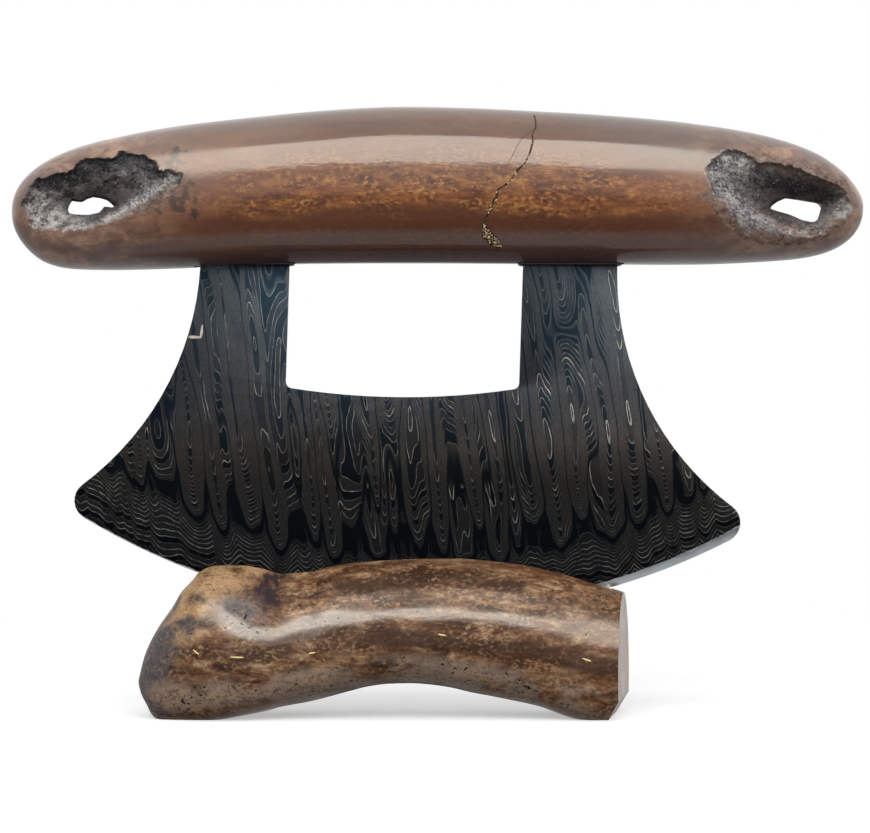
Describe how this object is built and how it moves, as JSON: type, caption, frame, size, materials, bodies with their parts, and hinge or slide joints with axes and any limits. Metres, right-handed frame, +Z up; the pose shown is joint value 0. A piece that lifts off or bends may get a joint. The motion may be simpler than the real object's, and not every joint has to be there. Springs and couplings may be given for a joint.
{
  "type": "ulu knife with display stand",
  "caption": "Two-legged ulu with a curved layered-steel blade glued into an arched bone handle, its edge standing in the slot of a polished bone display stand.",
  "frame": {"origin": "under the middle of the handle, on the surface that the stand rests on", "axes": "+X along the handle towards the stand's sawn end, +Y from the front to the back through the blade's thickness, +Z up"},
  "size_m": [0.1962, 0.03, 0.1404],
  "materials": {
    "polished_fossil_bone": "gloss",
    "polished_stand_bone": "gloss",
    "etched_layered_steel": "satin",
    "dark_epoxy": "satin",
    "mineral_filler": "matte"
  },
  "bodies": {
    "stand": {"display_stand": "polished_stand_bone"},
    "knife": {"handle": "polished_fossil_bone", "blade": "etched_layered_steel", "left_tang_epoxy": "dark_epoxy", "right_tang_epoxy": "dark_epoxy", "crack_filler": "mineral_filler"}
  },
  "joints": [
    {"name": "knife_lift", "type": "slide", "parent": "stand", "child": "knife", "axis": [0, 0, 1], "range_m": [0, 0.08]}
  ]
}
